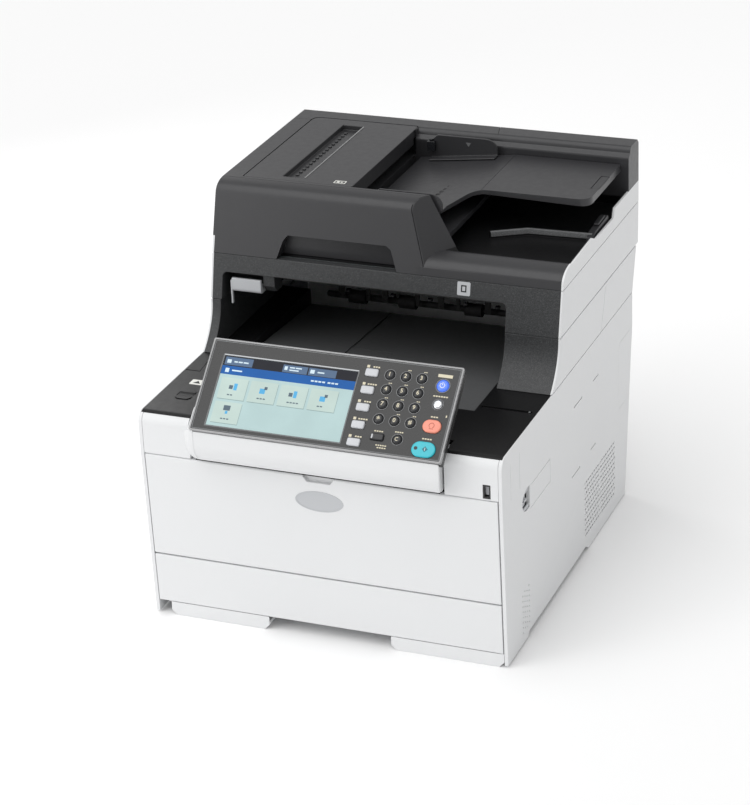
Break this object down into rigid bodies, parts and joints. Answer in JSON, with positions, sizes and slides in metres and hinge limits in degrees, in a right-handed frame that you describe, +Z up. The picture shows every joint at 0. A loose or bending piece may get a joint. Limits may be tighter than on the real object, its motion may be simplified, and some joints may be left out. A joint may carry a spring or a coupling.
{
  "type": "photocopier",
  "caption": "Compact colour copier and scanner with a document feeder, in-body output tray, tilting touch panel, front door and paper cassette.",
  "frame": {"origin": "centre of the machine's bounding box, at the surface that it stands on", "axes": "+Z up, +Y from the operator's side to the back, +X to the operator's right"},
  "size_m": [0.427, 0.5352, 0.444],
  "materials": {
    "white_shell": "fine-textured off-white moulded plastic",
    "speckled_grey": "speckled dark grey moulded plastic",
    "feeder_black": "satin black moulded plastic",
    "deck_black": "matte black textured plastic",
    "panel_black": "smooth black plastic with a thin silver rim",
    "screen": "touch screen showing pale blue tiles",
    "key_dark": "dark key caps with pale marks",
    "key_grey": "light grey key caps",
    "key_blue": "lit blue key in a silver ring",
    "key_salmon": "salmon key cap",
    "key_cyan": "cyan key cap",
    "light_grey": "light grey moulded plastic",
    "steel": "plated steel",
    "rubber": "black rubber and moulding",
    "drum_black": "dark grey moulded plastic with coloured end marks",
    "platen_glass": "clear scanner glass",
    "pad_white": "white foam-backed pad"
  },
  "bodies": {
    "printer_body": {"base_frame": "white_shell", "left_side_cover": "white_shell", "right_side_cover": "white_shell", "rear_cover": "white_shell", "power_inlet": "rubber", "front_beam": "white_shell", "usb_port": "steel", "deck": "deck_black", "left_arm": "speckled_grey", "right_arm": "speckled_grey", "rear_stand": "white_shell", "transfer_belt": "rubber", "drum_basket": "drum_black", "fuser_unit": "steel"},
    "rear_exit_cover": {"rear_exit_cover": "white_shell"},
    "tray_release_button": {"tray_release_button": "deck_black"},
    "door_release_lever": {"door_release_lever": "light_grey"},
    "exit_roller": {"exit_roller": "rubber"},
    "output_tray": {"output_tray": "deck_black"},
    "paper_stop_flap": {"paper_stop_flap": "deck_black"},
    "front_door": {"front_door": "white_shell"},
    "cassette": {"cassette": "light_grey", "cassette_front": "white_shell"},
    "lift_plate": {"lift_plate": "steel"},
    "operator_panel": {"panel_housing": "panel_black", "panel_belly": "white_shell", "display": "screen"},
    "scanner_unit": {"scanner_housing": "speckled_grey", "platen_glass": "platen_glass"},
    "scanner_release_lever": {"scanner_release_lever": "light_grey"},
    "document_feeder": {"adf_base": "feeder_black", "platen_pad": "pad_white"},
    "feeder_cover": {"feeder_cover": "feeder_black"},
    "input_tray": {"input_tray": "feeder_black"},
    "guide_front": {"guide_front": "feeder_black"},
    "guide_rear": {"guide_rear": "feeder_black"},
    "pickup_roller": {"pickup_roller": "rubber"},
    "key_1": {"key_1": "key_dark"},
    "key_2": {"key_2": "key_dark"},
    "key_3": {"key_3": "key_dark"},
    "key_4": {"key_4": "key_dark"},
    "key_5": {"key_5": "key_dark"},
    "key_6": {"key_6": "key_dark"},
    "key_7": {"key_7": "key_dark"},
    "key_8": {"key_8": "key_dark"},
    "key_9": {"key_9": "key_dark"},
    "key_star": {"key_star": "key_dark"},
    "key_0": {"key_0": "key_dark"},
    "key_hash": {"key_hash": "key_dark"},
    "key_clear": {"key_clear": "key_dark"},
    "key_status": {"key_status": "key_dark"},
    "key_home": {"key_home": "key_grey"},
    "key_copy": {"key_copy": "key_grey"},
    "key_scan": {"key_scan": "key_grey"},
    "key_print": {"key_print": "key_grey"},
    "key_fax": {"key_fax": "key_grey"},
    "key_power": {"key_power": "key_blue"},
    "key_power_save": {"key_power_save": "key_grey"},
    "key_stop": {"key_stop": "key_salmon"},
    "key_start": {"key_start": "key_cyan"}
  },
  "joints": [
    {"name": "front_door_swing", "type": "hinge", "parent": "printer_body", "child": "front_door", "pos_m": [0, -0.2331, 0.0817], "axis": [1, 0, 0], "range_deg": [0, 85]},
    {"name": "rear_exit_swing", "type": "hinge", "parent": "printer_body", "child": "rear_exit_cover", "pos_m": [0, 0.2295, 0.131], "axis": [-1, 0, 0], "range_deg": [0, 80]},
    {"name": "panel_tilt", "type": "hinge", "parent": "printer_body", "child": "operator_panel", "pos_m": [0, -0.2374, 0.24], "axis": [1, 0, 0], "range_deg": [-25, 20]},
    {"name": "scanner_lift", "type": "hinge", "parent": "printer_body", "child": "scanner_unit", "pos_m": [0, 0.2656, 0.312], "axis": [-1, 0, 0], "range_deg": [0, 35]},
    {"name": "output_tray_lift", "type": "hinge", "parent": "printer_body", "child": "output_tray", "pos_m": [0, 0.1466, 0.235], "axis": [-1, 0, 0], "range_deg": [0, 42]},
    {"name": "paper_stop_flip", "type": "hinge", "parent": "output_tray", "child": "paper_stop_flap", "pos_m": [0, -0.0194, 0.24878], "axis": [1, 0, 0], "range_deg": [0, 60]},
    {"name": "document_cover_lift", "type": "hinge", "parent": "scanner_unit", "child": "document_feeder", "pos_m": [0, 0.2676, 0.365], "axis": [-1, 0, 0], "range_deg": [0, 70]},
    {"name": "feeder_cover_lift", "type": "hinge", "parent": "document_feeder", "child": "feeder_cover", "pos_m": [-0.19, -0.2414, 0.4439], "axis": [0, -1, 0], "range_deg": [0, 80]},
    {"name": "input_tray_lift", "type": "hinge", "parent": "document_feeder", "child": "input_tray", "pos_m": [-0.046, -0.2414, 0.408], "axis": [0, -1, 0], "range_deg": [0, 25]},
    {"name": "guide_front_slide", "type": "slide", "parent": "input_tray", "child": "guide_front", "axis": [0, 1, 0], "range_m": [0, 0.045]},
    {"name": "guide_rear_slide", "type": "slide", "parent": "input_tray", "child": "guide_rear", "axis": [0, -1, 0], "range_m": [0, 0.045]},
    {"name": "cassette_slide", "type": "slide", "parent": "printer_body", "child": "cassette", "axis": [0, -1, 0], "range_m": [0, 0.33]},
    {"name": "lift_plate_rise", "type": "hinge", "parent": "cassette", "child": "lift_plate", "pos_m": [0, -0.0284, 0.023], "axis": [-1, 0, 0], "range_deg": [0, 12]},
    {"name": "exit_roller_spin", "type": "hinge", "parent": "printer_body", "child": "exit_roller", "pos_m": [0, 0.1616, 0.246], "axis": [1, 0, 0], "continuous": true},
    {"name": "pickup_roller_spin", "type": "hinge", "parent": "document_feeder", "child": "pickup_roller", "pos_m": [-0.095, -0.2414, 0.423], "axis": [0, 1, 0], "continuous": true},
    {"name": "tray_release_press", "type": "slide", "parent": "printer_body", "child": "tray_release_button", "axis": [0, 0, -1], "range_m": [0, 0.0035], "stiffness_N_per_m": 600},
    {"name": "door_release_pull", "type": "slide", "parent": "printer_body", "child": "door_release_lever", "axis": [0, 0, 1], "range_m": [0, 0.005], "stiffness_N_per_m": 600},
    {"name": "scanner_release_squeeze", "type": "hinge", "parent": "scanner_unit", "child": "scanner_release_lever", "pos_m": [0, -0.0054, 0.324], "axis": [-1, 0, 0], "range_deg": [0, 12], "stiffness_Nm_per_rad": 0.6},
    {"name": "key_1_press", "type": "slide", "parent": "operator_panel", "child": "key_1", "axis": [0, 0.6756, -0.7373], "range_m": [0, 0.0012], "stiffness_N_per_m": 500},
    {"name": "key_2_press", "type": "slide", "parent": "operator_panel", "child": "key_2", "axis": [0, 0.6756, -0.7373], "range_m": [0, 0.0012], "stiffness_N_per_m": 500},
    {"name": "key_3_press", "type": "slide", "parent": "operator_panel", "child": "key_3", "axis": [0, 0.6756, -0.7373], "range_m": [0, 0.0012], "stiffness_N_per_m": 500},
    {"name": "key_4_press", "type": "slide", "parent": "operator_panel", "child": "key_4", "axis": [0, 0.6756, -0.7373], "range_m": [0, 0.0012], "stiffness_N_per_m": 500},
    {"name": "key_5_press", "type": "slide", "parent": "operator_panel", "child": "key_5", "axis": [0, 0.6756, -0.7373], "range_m": [0, 0.0012], "stiffness_N_per_m": 500},
    {"name": "key_6_press", "type": "slide", "parent": "operator_panel", "child": "key_6", "axis": [0, 0.6756, -0.7373], "range_m": [0, 0.0012], "stiffness_N_per_m": 500},
    {"name": "key_7_press", "type": "slide", "parent": "operator_panel", "child": "key_7", "axis": [0, 0.6756, -0.7373], "range_m": [0, 0.0012], "stiffness_N_per_m": 500},
    {"name": "key_8_press", "type": "slide", "parent": "operator_panel", "child": "key_8", "axis": [0, 0.6756, -0.7373], "range_m": [0, 0.0012], "stiffness_N_per_m": 500},
    {"name": "key_9_press", "type": "slide", "parent": "operator_panel", "child": "key_9", "axis": [0, 0.6756, -0.7373], "range_m": [0, 0.0012], "stiffness_N_per_m": 500},
    {"name": "key_star_press", "type": "slide", "parent": "operator_panel", "child": "key_star", "axis": [0, 0.6756, -0.7373], "range_m": [0, 0.0012], "stiffness_N_per_m": 500},
    {"name": "key_0_press", "type": "slide", "parent": "operator_panel", "child": "key_0", "axis": [0, 0.6756, -0.7373], "range_m": [0, 0.0012], "stiffness_N_per_m": 500},
    {"name": "key_hash_press", "type": "slide", "parent": "operator_panel", "child": "key_hash", "axis": [0, 0.6756, -0.7373], "range_m": [0, 0.0012], "stiffness_N_per_m": 500},
    {"name": "key_clear_press", "type": "slide", "parent": "operator_panel", "child": "key_clear", "axis": [0, 0.6756, -0.7373], "range_m": [0, 0.0012], "stiffness_N_per_m": 500},
    {"name": "key_status_press", "type": "slide", "parent": "operator_panel", "child": "key_status", "axis": [0, 0.6756, -0.7373], "range_m": [0, 0.0012], "stiffness_N_per_m": 500},
    {"name": "key_home_press", "type": "slide", "parent": "operator_panel", "child": "key_home", "axis": [0, 0.6756, -0.7373], "range_m": [0, 0.0012], "stiffness_N_per_m": 500},
    {"name": "key_copy_press", "type": "slide", "parent": "operator_panel", "child": "key_copy", "axis": [0, 0.6756, -0.7373], "range_m": [0, 0.0012], "stiffness_N_per_m": 500},
    {"name": "key_scan_press", "type": "slide", "parent": "operator_panel", "child": "key_scan", "axis": [0, 0.6756, -0.7373], "range_m": [0, 0.0012], "stiffness_N_per_m": 500},
    {"name": "key_print_press", "type": "slide", "parent": "operator_panel", "child": "key_print", "axis": [0, 0.6756, -0.7373], "range_m": [0, 0.0012], "stiffness_N_per_m": 500},
    {"name": "key_fax_press", "type": "slide", "parent": "operator_panel", "child": "key_fax", "axis": [0, 0.6756, -0.7373], "range_m": [0, 0.0012], "stiffness_N_per_m": 500},
    {"name": "key_power_press", "type": "slide", "parent": "operator_panel", "child": "key_power", "axis": [0, 0.6756, -0.7373], "range_m": [0, 0.0012], "stiffness_N_per_m": 500},
    {"name": "key_power_save_press", "type": "slide", "parent": "operator_panel", "child": "key_power_save", "axis": [0, 0.6756, -0.7373], "range_m": [0, 0.0012], "stiffness_N_per_m": 500},
    {"name": "key_stop_press", "type": "slide", "parent": "operator_panel", "child": "key_stop", "axis": [0, 0.6756, -0.7373], "range_m": [0, 0.0012], "stiffness_N_per_m": 500},
    {"name": "key_start_press", "type": "slide", "parent": "operator_panel", "child": "key_start", "axis": [0, 0.6756, -0.7373], "range_m": [0, 0.0012], "stiffness_N_per_m": 500}
  ],
  "couplings": [
    {"joint": "output_tray_lift", "follows": "scanner_lift", "ratio": 1.2},
    {"joint": "guide_rear_slide", "follows": "guide_front_slide", "ratio": 1}
  ]
}
